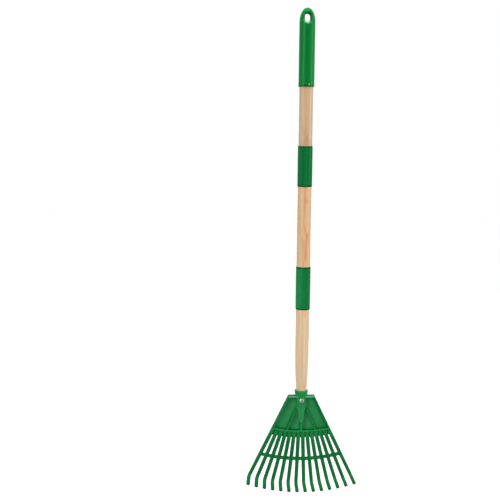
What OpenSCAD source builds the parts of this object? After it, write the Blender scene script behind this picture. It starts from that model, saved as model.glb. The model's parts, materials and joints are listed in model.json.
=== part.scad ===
// Sand rake: three wooden dowels joined by plastic sleeves, a grip cap with a
// hanging hole, and a one-piece moulded rake head held by a screw.
// Z runs up the handle and the hooked tines point along -Y.
// The origin is the centre of the hanging hole.

/* [Handle] */
// Diameter of the wooden dowels
rod_d = 22; // [18:0.5:28]
// Step between a dowel and its turned spigot, on the radius
shoulder = 1; // [0.6:0.1:2]
// Bare wood between the grip cap and the upper sleeve
upper_show = 93; // [60:1:200]
// Bare wood between the two sleeves
middle_show = 129; // [60:1:240]
// Bare wood between the lower sleeve and the rake head
lower_show = 134.5; // [90:1:260]
// Length of the rounded taper above the rake head
taper_len = 65; // [30:1:80]
// Diameter of the tapered dowel where it enters the rake head
neck_d = 16.7; // [15:0.1:17.2]
// Depth of the dowel's end in the rake head
tenon_len = 34; // [24:1:38]
// Diameter of the dowel's end inside the rake head
tenon_tip_d = 9.4; // [7:0.1:11]
// Chamfer on the ends of dowels and spigots
rod_chamfer = 0.8; // [0.3:0.1:1.5]

/* [Sleeves] */
// Length of the upper joining sleeve
upper_sleeve_len = 65; // [40:1:100]
// Length of the lower joining sleeve
lower_sleeve_len = 70; // [40:1:100]
// Wall of a joining sleeve around the spigots
sleeve_wall = 1.75; // [1.2:0.05:3]
// Bevel on the outer rims of a sleeve
sleeve_bevel = 0.5; // [0.2:0.1:1]
// Room left between the two spigot ends inside a sleeve
spigot_gap = 1; // [0.4:0.1:3]

/* [Grip cap] */
// Length of the grip cap over all
cap_len = 123; // [80:1:180]
// Wall of the grip cap around the dowel
cap_wall = 1.6; // [1:0.1:3]
// Height of the dome at the top of the cap
dome_h = 22; // [14:1:30]
// Centre of the hanging hole below the top of the dome
hole_drop = 16; // [13:0.5:22]
// Width of the hanging hole
hole_w = 9.4; // [6:0.1:11]
// Height of the hanging hole
hole_h = 13.6; // [11:0.1:15]
// Widening of the dished rim around the hanging hole
dish = 2.4; // [0.8:0.1:3]
// Depth of the dished rim, from the widest part of the cap
dish_depth = 6.5; // [4:0.1:11]
// Top of the upper dowel below the centre of the hanging hole
rod_stop = 14; // [12:0.5:20]
// Bevel on the lower rim of the cap
cap_bevel = 0.5; // [0.2:0.1:0.9]

/* [Rake head] */
// Number of tines
tine_count = 14; // [8:2:14]
// Angle between the two outer tines
fan_angle = 51.7; // [40:0.1:54]
// Point where all the tines would meet, above the top edge of the panel
apex_up = 37.3; // [34:0.1:60]
// Width of a tine
tine_w = 5.8; // [3.6:0.1:6.2]
// Thickness of a tine
tine_t = 4.8; // [4:0.1:6]
// Rounding of a tine's edges
tine_round = 1.2; // [0.4:0.1:1.6]
// Back faces of the tines behind the back of the panel
tine_proud = 0.4; // [0.2:0.1:1]
// Thickness of the panel and of the cross band
panel_t = 2.4; // [1.6:0.1:3]
// Lower edge of the panel at its middle, below its top edge
panel_drop = 62.1; // [58:0.1:66]
// Width of the raised rim along the panel's lower edge
rim_w = 3; // [1.6:0.1:4]
// Width of the raised rims along the panel's sides
side_rim_w = 2.2; // [1.4:0.1:4]
// Width of the raised rim along the panel's top edge
top_rim_w = 3.8; // [1.6:0.1:5]
// Height of the raised rims over the panel
rim_h = 6; // [1:0.1:7]
// Centre of the curves of panel, band and tips, above the top edge of the panel
arc_up = 145; // [120:1:240]
// Upper end of the middle slot, below the top edge of the panel
slot_top = 72.2; // [68:0.1:80]
// Upper edge of the cross band at its middle
band_top = 105.9; // [95:0.1:115]
// Width of the cross band
band_w = 5.5; // [4:0.1:10]
// Rounding of the slots' corners
slot_round = 1.2; // [0.5:0.1:1.4]
// Corner of the tines' bend at the middle, below the panel's top edge
bend_drop = 150.2; // [135:0.1:180]
// Angle through which the tines bend
bend_angle = 78; // [60:1:90]
// Radius inside the bend
bend_inner = 4; // [2:0.5:8]
// Length of a hook from the corner of its bend to the tip
hook_len = 26; // [20:1:45]

/* [Socket and ribs] */
// Collar of the socket above the top edge of the panel
collar_h = 8; // [5:0.5:14]
// Diameter of the collar's lip
collar_d = 22.2; // [20:0.1:24]
// Height of the collar's lip
lip_h = 2.2; // [1:0.1:3]
// Diameter of the socket where it leaves the panel's top edge
socket_d = 18.8; // [17:0.1:20]
// End of the socket's straight part, below the panel's top edge
socket_straight = 20; // [16:0.5:26]
// Diameter of the socket where its nose starts
nose_d = 16.4; // [15.6:0.1:17]
// Length of the socket's nose
nose_len = 25.5; // [20:0.5:30]
// Diameter of the rounded tip of the nose
nose_tip_d = 7; // [4.5:0.1:10]
// Width of the rib below the socket's nose
spine_w = 3.6; // [2:0.1:5]
// Width of the slanting ribs
brace_w = 2; // [1.2:0.1:3]
// Height of the slanting ribs over the panel
brace_h = 5.4; // [0.8:0.1:6.4]
// Start of a slanting rib, sideways from the middle
brace_x = 8.5; // [6:0.1:10]
// Start of a slanting rib, below the panel's top edge
brace_drop = 23.5; // [18:0.5:28]
// Angle of the slanting ribs to the handle
brace_angle = 23; // [14:1:30]

/* [Fasteners] */
// Diameter of the screw's shank
screw_d = 3.5; // [2.5:0.1:4]
// Length of the screw under its head
screw_len = 13; // [9:0.5:14]
// Diameter of the screw's head
screw_head_d = 7.2; // [6:0.1:8]
// Height of the screw's head
screw_head_h = 2.4; // [2:0.1:3]
// Width of the moulded pad around the screw's head
pad_rim = 0.7; // [0.3:0.1:1.2]
// Height of that pad over the socket
pad_h = 0.5; // [0.2:0.1:1.5]
// Diameter of the nail's shank
nail_d = 1.4; // [1:0.1:2]
// Length of the nail under its head
nail_len = 11; // [7:0.5:14]
// Diameter of the nail's head
nail_head_d = 2.4; // [2:0.1:4]
// Height of the nail's head
nail_head_h = 0.6; // [0.4:0.1:1.2]
// Centre of the nail above the cap's rim
nail_up = 3.4; // [2.8:0.1:8]
// Angle of the nail round the handle, from the front towards +X
nail_angle = 14; // [-60:1:60]

/* [Fits] */
// Radial clearance of spigots, caps, sockets and fasteners
fit = 0.05; // [0.02:0.01:0.1]

/* [Hidden] */
$fn = 64;

plastic = [0.09, 0.48, 0.23];
wood = [0.83, 0.70, 0.51];
steel = [0.80, 0.80, 0.79];

// Overrun of every cut past the face that it starts from
over = 1;
// Middle of a rim, as a share of its width
mid_share = 0.5;
// Overlap of the nose with the socket
nose_lap = 0.4;
// Steps along a curved profile
profile_steps = 14;
// Centre of the screw along the dowel's end in the rake head
screw_share = 0.47;
// Share of the screw's length that is its point
point_share = 0.25;
// Width, depth and span of the cross recess as shares of the screw's head
recess_w_share = 0.13;
recess_depth_share = 0.55;
recess_span_share = 0.58;
// Flat edge of the screw's head as a share of its height
edge_share = 0.4;
// Depth of the slots' edges inside the tines as a share of a tine's width
slot_bite_share = 0.1;
// Radius of a hook's rounded end as a share of its width
crown_share = 0.75;
// Draft of a hook, and how far the hook starts inside its bend
hook_draft = 0.02;
hook_tuck = 0.3;

// Heights of the seats along the handle
cap_top_z = hole_drop;
cap_rim_z = cap_top_z - cap_len;
upper_sleeve_z = cap_rim_z - upper_show;
lower_sleeve_z = upper_sleeve_z - upper_sleeve_len - middle_show;
collar_z = lower_sleeve_z - lower_sleeve_len - lower_show;
panel_z = collar_z - collar_h;
screw_drop = tenon_len * screw_share - collar_h;
nose_end = socket_straight + nose_len;

// Lengths of the spigots, which meet in the middle of each sleeve
upper_spigot = (upper_sleeve_len - spigot_gap) / 2;
lower_spigot = (lower_sleeve_len - spigot_gap) / 2;

// Radii on the handle
rod_r = rod_d / 2;
spigot_r = rod_r - shoulder;
sleeve_r = spigot_r + fit + sleeve_wall;
cap_r = rod_r + fit + cap_wall;

// Depths of the rake head across its panel
panel_back = panel_t / 2;
panel_front = -panel_t / 2;
rim_front = panel_front - rim_h;
tine_mid = panel_back + tine_proud - tine_t / 2;

// Angles and radii of the fan
pitch = fan_angle / (tine_count - 1);
outer_angle = fan_angle / 2;
bend_r = bend_inner + tine_t / 2;
bend_setback = bend_r * tan(bend_angle / 2);
fan_reach = apex_up + bend_drop + hook_len;
root_drop = panel_drop - rim_w / 2;
slot_bite = tine_w * slot_bite_share;
band_end = band_top + band_w;
web_end = band_end + 2 * slot_round;

// Face of the pad under the screw's head, from the handle's axis
pad_face = socket_d / 2 + pad_h;
pad_d = screw_head_d + 2 * pad_rim;

function angle_of(i) = (i - (tine_count - 1) / 2) * pitch;

// Distance from the fan's point to a curve of the fan, along a direction
function along(angle, drop) =
    let (c = arc_up - apex_up, r = arc_up + drop)
    sqrt(r * r - pow(c * sin(angle), 2)) - c * cos(angle);

// Half width of a dowel along its taper, where t runs from 0 to 1
function taper_r(t) = rod_r - (rod_r - neck_d / 2) * t * t;

// Half width of the cap's dome, where t runs from 0 at its top to 1
function dome_r(t) = cap_r * sqrt(1 - pow(1 - t, 2));

// A turned dowel from a list of [radius, height] points
module turned(points) {
    rotate_extrude() polygon(points);
}

// A plate cut from a flat outline, from the depth front to the depth back
module plate(front, back) {
    translate([0, back, 0]) rotate([90, 0, 0]) linear_extrude(back - front) children();
}

// Rounded rectangle centred on the origin
module rounded(w, h, r) {
    square([w - 2 * r, h], center = true);
    square([w, h - 2 * r], center = true);
    for (x = [r - w / 2, w / 2 - r], y = [r - h / 2, h / 2 - r]) translate([x, y]) circle(r);
}

// Obround hole along Y, widened by grow at the far end of its depth
module obround_cut(w, h, grow, depth) {
    straight = h - w;
    for (s = [-1, 1])
        translate([0, 0, s * straight / 2])
            rotate([-90, 0, 0]) cylinder(h = depth, r1 = w / 2, r2 = w / 2 + grow);
    translate([0, 0, -straight / 2])
        linear_extrude(straight)
            polygon([[-w / 2, 0], [w / 2, 0], [w / 2 + grow, depth], [-w / 2 - grow, depth]]);
}

// Nail with its head on the plane y = 0, pointing along +Y
module nail_body(clear = 0) {
    rotate([-90, 0, 0]) cylinder(h = nail_len + clear, d = nail_d + 2 * clear);
}

// Places a child on the nail's axis, at the seat of its head
module at_nail() {
    seat = sqrt(cap_r * cap_r - nail_head_d * nail_head_d / 4);
    rotate([0, 0, nail_angle]) translate([0, -seat, cap_rim_z + nail_up]) children();
}

// Places a child on the screw's axis, at the seat of its head
module at_screw() {
    translate([0, -pad_face, panel_z - screw_drop]) children();
}

module grip_cap() {
    dome = [for (i = [0 : profile_steps])
        let (t = i / profile_steps) [dome_r(t), cap_top_z - dome_h * t]];
    color(plastic) difference() {
        turned(concat(dome, [[cap_r, cap_rim_z + cap_bevel], [cap_r - cap_bevel, cap_rim_z], [0, cap_rim_z]]));
        translate([0, 0, cap_rim_z - over]) cylinder(h = -rod_stop - cap_rim_z + over, r = rod_r + fit);
        for (side = [0, 180]) rotate([0, 0, side]) {
            obround_cut(hole_w, hole_h, 0, cap_r + over);
            translate([0, cap_r - dish_depth, 0]) obround_cut(hole_w, hole_h, dish, dish_depth);
        }
        at_nail() {
            nail_body(fit);
            rotate([90, 0, 0]) cylinder(h = over, d = nail_head_d + 2 * fit);
        }
    }
}

module cap_nail() {
    color(steel) at_nail() {
        nail_body();
        rotate([90, 0, 0]) cylinder(h = nail_head_h, d = nail_head_d);
    }
}

// Points of a spigot's edge, from its shoulder to its end at the height z
function spigot_points(z, up) = [[spigot_r, z - up * rod_chamfer], [spigot_r - rod_chamfer, z], [0, z]];

module upper_rod() {
    end = upper_sleeve_z - upper_spigot;
    color(wood) difference() {
        turned(concat([[0, -rod_stop], [rod_r - rod_chamfer, -rod_stop], [rod_r, -rod_stop - rod_chamfer],
                       [rod_r, upper_sleeve_z], [spigot_r, upper_sleeve_z]], spigot_points(end, -1)));
        at_nail() nail_body(fit);
    }
}

module middle_rod() {
    top = upper_sleeve_z - upper_sleeve_len;
    upper_end = top + upper_spigot;
    lower_end = lower_sleeve_z - lower_spigot;
    upper = spigot_points(upper_end, 1);
    color(wood) turned(concat([upper[2], upper[1], upper[0], [spigot_r, top], [rod_r, top],
                               [rod_r, lower_sleeve_z], [spigot_r, lower_sleeve_z]],
                              spigot_points(lower_end, -1)));
}

module lower_rod() {
    top = lower_sleeve_z - lower_sleeve_len;
    upper = spigot_points(top + lower_spigot, 1);
    taper = [for (i = [0 : profile_steps])
        let (t = i / profile_steps) [taper_r(t), collar_z + taper_len * (1 - t)]];
    color(wood) difference() {
        turned(concat([upper[2], upper[1], upper[0], [spigot_r, top], [rod_r, top]], taper,
                      [[tenon_tip_d / 2, collar_z - tenon_len], [0, collar_z - tenon_len]]));
        at_screw() screw_shank(fit);
    }
}

// A joining sleeve of a given length whose upper rim lies at the height z
module sleeve(z, len) {
    bore_r = spigot_r + fit;
    rim_r = sleeve_r - sleeve_bevel;
    low = z - len;
    color(plastic) turned([[bore_r, z], [rim_r, z], [sleeve_r, z - sleeve_bevel],
                           [sleeve_r, low + sleeve_bevel], [rim_r, low], [bore_r, low]]);
}

module upper_sleeve() {
    sleeve(upper_sleeve_z, upper_sleeve_len);
}

module lower_sleeve() {
    sleeve(lower_sleeve_z, lower_sleeve_len);
}

// Screw shank with its point, from its head's seat along +Y
module screw_shank(clear = 0) {
    point = screw_len * point_share;
    straight = screw_len - point;
    rotate([-90, 0, 0]) {
        cylinder(h = straight, d = screw_d + 2 * clear);
        translate([0, 0, straight]) cylinder(h = point + clear, d1 = screw_d + 2 * clear, d2 = 2 * clear);
    }
}

module head_screw() {
    edge_h = screw_head_h * edge_share;
    crown_h = screw_head_h - edge_h;
    crown_r = (screw_head_d * screw_head_d / 4 + crown_h * crown_h) / (2 * crown_h);
    recess_w = screw_head_d * recess_w_share;
    recess_span = screw_head_d * recess_span_share;
    recess_depth = screw_head_h * recess_depth_share;
    color(steel) at_screw() {
        screw_shank();
        rotate([90, 0, 0]) difference() {
            intersection() {
                cylinder(h = screw_head_h, d = screw_head_d);
                translate([0, 0, screw_head_h - crown_r]) sphere(crown_r);
            }
            for (turn = [0, 90])
                rotate([0, 0, turn])
                    translate([-recess_span / 2, -recess_w / 2, screw_head_h - recess_depth])
                        cube([recess_span, recess_w, recess_depth + over]);
        }
    }
}

// Wedge with its point down the middle, whose edges lie inset inside the outer tines
module wedge(half_angle, edge) {
    tip = apex_up + edge / sin(half_angle);
    side = (tip + fan_reach) * tan(half_angle);
    polygon([[0, tip], [side, -fan_reach], [-side, -fan_reach]]);
}

// Outline of the panel, drawn in by a share of the width of each edge's rim
module panel_outline(share) {
    intersection() {
        wedge(outer_angle, tine_w / 2 - share * side_rim_w);
        translate([0, arc_up]) circle(arc_up + panel_drop - share * rim_w);
        translate([-fan_reach, -fan_reach - share * top_rim_w]) square([2 * fan_reach, fan_reach]);
    }
}

// Part of the plane between two curves of the fan
module curved_strip(from, to) {
    translate([0, arc_up]) difference() {
        circle(arc_up + to);
        circle(arc_up + from);
    }
}

// Open space between two tines, from one curve of the fan to another
module tine_gap(i, from, to) {
    middle = angle_of(i) + pitch / 2;
    offset(slot_round) offset(delta = -slot_round) intersection() {
        translate([0, apex_up]) rotate(middle) translate([0, -apex_up]) wedge(pitch / 2, slot_bite - tine_w / 2);
        curved_strip(from, to);
    }
}

// Root of the tines and cross band, with the slots cut through
module web_outline() {
    difference() {
        intersection() {
            wedge(outer_angle, 0);
            translate([0, arc_up]) circle(arc_up + web_end);
        }
        translate([0, arc_up]) circle(arc_up + root_drop);
        for (i = [0 : tine_count - 2]) {
            tine_gap(i, slot_top, band_top);
            tine_gap(i, band_end, fan_reach);
        }
    }
}

// Slanting rib on the side s of the panel
module brace_outline(s) {
    intersection() {
        panel_outline(mid_share);
        translate([s * brace_x, -brace_drop]) rotate(s * brace_angle)
            translate([-brace_w / 2, -fan_reach]) square([brace_w, fan_reach + brace_w]);
    }
}

// Space that a hook of a given length fills, with its end rounded to the radius r
module hook_outline(len, r) {
    translate([-r, -r]) square([len, 2 * r]);
    translate([len - r, 0]) circle(r);
}

// A tine from its root to the tip of its hook, at an angle to the handle
module tine(angle) {
    root_r = along(angle, root_drop);
    bend_start = along(angle, bend_drop) - bend_setback;
    hook_w = tine_w - 2 * hook_draft;
    hook_t = tine_t - 2 * hook_draft;
    straight = hook_len - bend_setback;
    translate([0, tine_mid, apex_up]) rotate([0, -angle, 0]) {
        translate([0, 0, -bend_start]) linear_extrude(bend_start - root_r) rounded(tine_w, tine_t, tine_round);
        translate([0, -bend_r, -bend_start]) rotate([-90, 0, 90]) {
            rotate_extrude(angle = bend_angle) translate([bend_r, 0]) rounded(tine_t, tine_w, tine_round);
            rotate([0, 0, bend_angle]) translate([bend_r, -hook_tuck, 0]) intersection() {
                rotate([-90, 0, 0]) linear_extrude(straight + hook_tuck) rounded(hook_t, hook_w, tine_round);
                rotate([90, 0, 90]) linear_extrude(2 * hook_t, center = true)
                    hook_outline(straight + hook_tuck, hook_w * crown_share);
            }
        }
    }
}

// Outside of the socket, from the collar's lip to the start of its nose
module socket_body() {
    turned([[0, collar_h], [collar_d / 2, collar_h], [collar_d / 2, collar_h - lip_h],
            [socket_d / 2, -lip_h], [nose_d / 2, -socket_straight], [0, -socket_straight]]);
}

// Nose below the socket, which narrows to a rounded tip on the rib
module nose() {
    hull() {
        translate([0, 0, -socket_straight]) cylinder(h = nose_lap, d = nose_d, $fn = 32);
        plate(rim_front, 0) translate([0, nose_tip_d / 2 - nose_end]) circle(d = nose_tip_d, $fn = 32);
    }
}

// Space for the dowel's end inside the socket
module socket_bore() {
    mouth = neck_d / 2 + fit;
    bottom = collar_h - tenon_len;
    turned([[0, collar_h + over], [mouth, collar_h + over], [mouth, collar_h],
            [tenon_tip_d / 2 + fit, bottom], [0, bottom]]);
}

module rake_head() {
    color(plastic) translate([0, 0, panel_z]) difference() {
        union() {
            plate(panel_front, panel_back) {
                panel_outline(0);
                web_outline();
            }
            plate(rim_front, panel_back) difference() {
                panel_outline(0);
                panel_outline(1);
            }
            plate(panel_front - brace_h, 0) {
                brace_outline(-1);
                brace_outline(1);
            }
            plate(rim_front, 0) intersection() {
                panel_outline(mid_share);
                translate([-spine_w / 2, -fan_reach]) square([spine_w, fan_reach + nose_tip_d / 2 - nose_end]);
            }
            socket_body();
            nose();
            translate([0, 0, -screw_drop]) rotate([90, 0, 0]) cylinder(h = pad_face, d = pad_d);
            for (i = [0 : tine_count - 1]) tine(angle_of(i));
        }
        socket_bore();
        translate([0, 0, -panel_z]) at_screw() screw_shank(fit);
    }
}

grip_cap();
cap_nail();
upper_rod();
upper_sleeve();
middle_rod();
lower_sleeve();
lower_rod();
rake_head();
head_screw();
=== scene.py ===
import json
import math

import bmesh
import bpy
import numpy as np
from mathutils import Matrix, Vector


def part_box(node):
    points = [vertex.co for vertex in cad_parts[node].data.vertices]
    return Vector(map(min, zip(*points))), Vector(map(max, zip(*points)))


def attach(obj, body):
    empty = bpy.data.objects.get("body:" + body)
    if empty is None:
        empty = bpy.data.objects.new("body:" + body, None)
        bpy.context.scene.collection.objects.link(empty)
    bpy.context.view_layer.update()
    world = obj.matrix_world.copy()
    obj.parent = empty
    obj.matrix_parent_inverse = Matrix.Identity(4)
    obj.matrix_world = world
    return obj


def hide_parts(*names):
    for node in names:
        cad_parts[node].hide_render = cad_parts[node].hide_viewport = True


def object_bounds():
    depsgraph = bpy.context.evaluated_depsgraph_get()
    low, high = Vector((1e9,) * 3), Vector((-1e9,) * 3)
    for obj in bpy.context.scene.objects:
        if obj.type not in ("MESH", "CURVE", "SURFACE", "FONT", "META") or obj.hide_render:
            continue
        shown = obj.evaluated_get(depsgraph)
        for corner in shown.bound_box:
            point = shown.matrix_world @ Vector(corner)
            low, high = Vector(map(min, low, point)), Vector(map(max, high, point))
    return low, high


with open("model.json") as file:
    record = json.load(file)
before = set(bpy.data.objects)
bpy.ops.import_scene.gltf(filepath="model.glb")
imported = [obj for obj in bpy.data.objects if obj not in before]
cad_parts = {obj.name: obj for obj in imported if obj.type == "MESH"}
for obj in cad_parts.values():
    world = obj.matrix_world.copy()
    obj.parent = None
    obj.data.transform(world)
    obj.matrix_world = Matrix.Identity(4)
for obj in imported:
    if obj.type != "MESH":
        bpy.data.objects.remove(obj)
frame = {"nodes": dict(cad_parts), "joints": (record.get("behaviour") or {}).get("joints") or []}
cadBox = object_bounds()
scene = bpy.context.scene
print("frame loaded:", ", ".join(sorted(frame["nodes"])))


# Meshes

def inMetres(**sizes):  # lengths are written in millimetres and used in metres
    return {name: size / 1000 for name, size in sizes.items()}


def gridFaces(rows, columns, wrapRows=False, wrapColumns=False):  # quads between neighbouring grid points
    row = np.arange(rows if wrapRows else rows - 1)[:, None]
    column = np.arange(columns if wrapColumns else columns - 1)[None, :]
    nextRow, nextColumn = (row + 1) % rows, (column + 1) % columns
    corners = [row * columns + column, row * columns + nextColumn,
               nextRow * columns + nextColumn, nextRow * columns + column]
    return np.stack(np.broadcast_arrays(*corners), -1).reshape(-1, 4)


def lathe(profile, sides, loop=False):
    # each radius and height of the profile is turned once about the Z axis, starting at -Y
    turn = np.linspace(0, 2 * np.pi, sides, endpoint=False)
    radius, height = profile[:, 0, None], profile[:, 1, None]
    points = np.stack([radius * np.sin(turn), -radius * np.cos(turn), height + 0 * turn], -1)
    return points.reshape(-1, 3), gridFaces(len(profile), sides, loop, True)


def polar(points):  # turn from -Y about the Z axis, radius and height of each point
    return np.arctan2(points[:, 0], -points[:, 1]), np.hypot(points[:, 0], points[:, 1]), points[:, 2]


def ripples(waves, turn, height):  # sum of sines, each with a strength, waves in a turn and radians a metre
    return sum(strength * np.sin(around * turn + upward * height) for strength, around, upward in waves)


def sweep(path, side, lift, outline, loop=False):
    # path + across * side + through * lift, for every point of the outline at every step of the path; side,
    # lift and outline are given for each step, or once for all
    side, lift = np.broadcast_to(side, path.shape), np.broadcast_to(lift, path.shape)
    outline = np.broadcast_to(outline, (len(path),) + outline.shape[1:])
    if not loop:  # a ring of no size at each end closes the tube
        path, side, lift = (np.pad(rows, ((1, 1), (0, 0)), "edge") for rows in (path, side, lift))
        outline = np.pad(outline, ((1, 1), (0, 0), (0, 0)))
    rings = path[:, None] + outline[..., :1] * side[:, None] + outline[..., 1:] * lift[:, None]
    return rings.reshape(-1, 3), gridFaces(len(path), rings.shape[1], loop, True)


def roundedBox(wide, deep, corner, steps=5):
    # four quarter circles about the corners of a box, for each width and depth given
    wide, deep, corner = np.broadcast_arrays(np.atleast_1d(wide), deep, corner)
    wide, deep, corner = wide[:, None, None], deep[:, None, None], corner[:, None, None]
    turn = np.linspace(0, np.pi / 2, steps) + np.arange(4)[:, None] * np.pi / 2
    across = np.array([1, -1, -1, 1])[:, None] * (wide / 2 - corner) + corner * np.cos(turn)
    through = np.array([1, 1, -1, -1])[:, None] * (deep / 2 - corner) + corner * np.sin(turn)
    return np.stack([across, through], -1).reshape(len(wide), -1, 2)


def softened(points, radii, steps=6):
    # a parabola from leg to leg stands for each corner of a profile, and the two ends stay
    points, radii = np.array(points, float), np.array(radii, float)[:, None]
    before, corner, after = points[:-2], points[1:-1], points[2:]
    toBefore, toAfter = before - corner, after - corner
    start = corner + toBefore / np.linalg.norm(toBefore, axis=1, keepdims=True) * radii
    end = corner + toAfter / np.linalg.norm(toAfter, axis=1, keepdims=True) * radii
    t = np.linspace(0, 1, steps)[None, :, None]
    arcs = (1 - t) ** 2 * start[:, None] + 2 * t * (1 - t) * corner[:, None] + t ** 2 * end[:, None]
    return np.concatenate([points[:1], arcs.reshape(-1, 2), points[-1:]])


def resampled(profile, step, digits=7):  # the same profile with extra points, no further apart than step
    travel = np.concatenate([[0], np.cumsum(np.linalg.norm(np.diff(profile, axis=0), axis=1))])
    stops = np.unique(np.concatenate([travel, np.arange(0, travel[-1], step)]).round(digits))
    return np.stack([np.interp(stops, travel, profile[:, k]) for k in (0, 1)], -1)


meshLimits = {"weld": 1e-6, "sliver": 1e-7, "sharpAngle": math.radians(38)}  # metres and radians


def makePiece(name, shells, material, body, node):
    # joins shells, each of points, faces and perhaps shares of painted light and shade, into one piece that
    # stands for a node
    starts = np.cumsum([0] + [len(shell[0]) for shell in shells])
    points = np.concatenate([shell[0] for shell in shells])
    faces = np.concatenate([shell[1] + start for shell, start in zip(shells, starts)])
    paintedLight = np.concatenate([np.broadcast_to(shell[2] if len(shell) > 2 else 0.0, len(shell[0]))
                           for shell in shells])
    mesh = bpy.data.meshes.new(name)
    mesh.from_pydata(points.tolist(), [], faces.tolist())
    mesh.attributes.new("paintedLight", "FLOAT", "POINT").data.foreach_set("value", paintedLight.astype(np.float32))
    work = bmesh.new()
    work.from_mesh(mesh)
    bmesh.ops.remove_doubles(work, verts=work.verts, dist=meshLimits["weld"])  # closes seams and poles
    bmesh.ops.dissolve_degenerate(work, edges=work.edges, dist=meshLimits["sliver"])
    bmesh.ops.recalc_face_normals(work, faces=work.faces)
    work.to_mesh(mesh)
    work.free()
    mesh.polygons.foreach_set("use_smooth", np.ones(len(mesh.polygons), bool))
    mesh.set_sharp_from_angle(angle=meshLimits["sharpAngle"])
    mesh.materials.append(material)
    piece = bpy.data.objects.new(name, mesh)
    scene.collection.objects.link(piece)
    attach(piece, body)
    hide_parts(node)
    print("made", name, len(mesh.polygons), "faces")


# Shader nodes

def addNode(tree, kind, inputs=None, **settings):
    made = tree.nodes.new(kind)
    for name, value in settings.items():
        setattr(made, name, value)
    for key, value in (inputs or {}).items():
        if isinstance(value, bpy.types.NodeSocket):
            tree.links.new(value, made.inputs[key])
        else:
            made.inputs[key].default_value = value
    return made


def maths(tree, operation, first, second=0.0, third=0.0, clamp=False):
    return addNode(tree, "ShaderNodeMath", {0: first, 1: second, 2: third},
                   operation=operation, use_clamp=clamp).outputs[0]


def vectorMaths(tree, operation, first, second):
    return addNode(tree, "ShaderNodeVectorMath", {0: first, 1: second}, operation=operation).outputs[0]


def vectorScale(tree, vector, scale):
    return addNode(tree, "ShaderNodeVectorMath", {0: vector, "Scale": scale}, operation="SCALE").outputs[0]


def vectorLength(tree, vector):
    return addNode(tree, "ShaderNodeVectorMath", {0: vector}, operation="LENGTH").outputs["Value"]


def mixColour(tree, factor, first, second):
    return addNode(tree, "ShaderNodeMix", {0: factor, 6: first, 7: second}, data_type="RGBA").outputs[2]


def span(tree, value, low, high, toLow=0.0, toHigh=1.0, smooth=True):  # carries one range over to another
    return addNode(tree, "ShaderNodeMapRange", {0: value, 1: low, 2: high, 3: toLow, 4: toHigh},
                   interpolation_type="SMOOTHSTEP" if smooth else "LINEAR").outputs[0]


def objectPlace(tree):
    return addNode(tree, "ShaderNodeTexCoord").outputs["Object"]


def noise(tree, place, cells, detail=2.0, roughness=0.5):  # cells in a metre, along X, Y and Z
    stretched = vectorMaths(tree, "MULTIPLY", place, cells)
    return addNode(tree, "ShaderNodeTexNoise", {"Vector": stretched, "Scale": 1.0, "Detail": detail,
                                                "Roughness": roughness}).outputs


def newGroup(name, inputs, outputs):  # sockets by label and kind; inputs get their values in each material
    group = bpy.data.node_groups.new(name, "ShaderNodeTree")
    for side, sockets in (("INPUT", inputs), ("OUTPUT", outputs)):
        for label, kind in sockets.items():
            group.interface.new_socket(label, in_out=side, socket_type="NodeSocket" + kind)
    return group, group.nodes.new("NodeGroupInput").outputs, group.nodes.new("NodeGroupOutput").inputs


def placeGroup(tree, group, **values):
    return addNode(tree, "ShaderNodeGroup", values, node_tree=group).outputs


# cells of each noise, and the levels of it that are carried over to shares
skinPattern = {"cloud": (30, 30, 14), "streak": (330, 330, 5), "peel": (900, 900, 900),
               "streakSpan": (0.35, 0.68), "cloudSpan": (0.4, 0.75, 0.0, 0.35),
               "cloudRoughness": 0.16, "flowHeight": 4.0}


def buildMouldedSkin():
    # cloudy colour, flow lines that run down the piece and a fine orange peel
    group, start, end = newGroup(
        "mouldedSkin", {"Base": "Color", "Deep": "Color", "Flow": "Float", "Gloss": "Float"},
        {"Color": "Color", "Roughness": "Float", "Height": "Float"})
    place = objectPlace(group)
    cloud = noise(group, place, skinPattern["cloud"], 3.0)[0]
    streak = noise(group, place, skinPattern["streak"])[0]
    peel = noise(group, place, skinPattern["peel"], 1.0)[0]
    flow = maths(group, "MULTIPLY", span(group, streak, *skinPattern["streakSpan"]), start["Flow"])
    shade = maths(group, "ADD", flow, span(group, cloud, *skinPattern["cloudSpan"]), clamp=True)
    group.links.new(mixColour(group, shade, start["Base"], start["Deep"]), end["Color"])
    rough = maths(group, "MULTIPLY_ADD", cloud, skinPattern["cloudRoughness"], start["Gloss"])
    evened = maths(group, "SUBTRACT", rough, skinPattern["cloudRoughness"] / 2, clamp=True)
    group.links.new(evened, end["Roughness"])
    group.links.new(maths(group, "MULTIPLY_ADD", flow, skinPattern["flowHeight"], peel), end["Height"])
    return group


# noise that makes the painted light and shade patchy
lightAndShadePattern = {"patch": (160, 160, 160), "patchSpan": (0.3, 0.7, 0.6, 1.0),
              "shadeSpan": (0.6, 1.0, 0.72, 0.9)}


def buildLightAndShade():
    # above zero the attribute paints a paler highlight, below zero a darker and duller shade
    group, start, end = newGroup(
        "lightAndShadeGroup", {"Color": "Color", "Rubbed": "Color", "Crevice": "Color", "Amount": "Float"},
        {"Color": "Color", "Mask": "Float"})
    paintedLight = addNode(group, "ShaderNodeAttribute", attribute_name="paintedLight").outputs["Fac"]
    spotted = noise(group, objectPlace(group), lightAndShadePattern["patch"], 3.0)[0]
    patchy = span(group, spotted, *lightAndShadePattern["patchSpan"])
    litShare = maths(group, "MULTIPLY", maths(group, "MAXIMUM", paintedLight, 0.0), patchy)
    mask = maths(group, "MULTIPLY", litShare, start["Amount"], clamp=True)
    depth = maths(group, "MAXIMUM", maths(group, "MULTIPLY", paintedLight, -1.0), 0.0)
    darkShare = maths(group, "MULTIPLY", depth, span(group, patchy, *lightAndShadePattern["shadeSpan"], smooth=False))
    shaded = mixColour(group, darkShare, start["Color"], start["Crevice"])
    group.links.new(mixColour(group, mask, shaded, start["Rubbed"]), end["Color"])
    group.links.new(maths(group, "ADD", mask, darkShare, clamp=True), end["Mask"])
    return group


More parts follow.
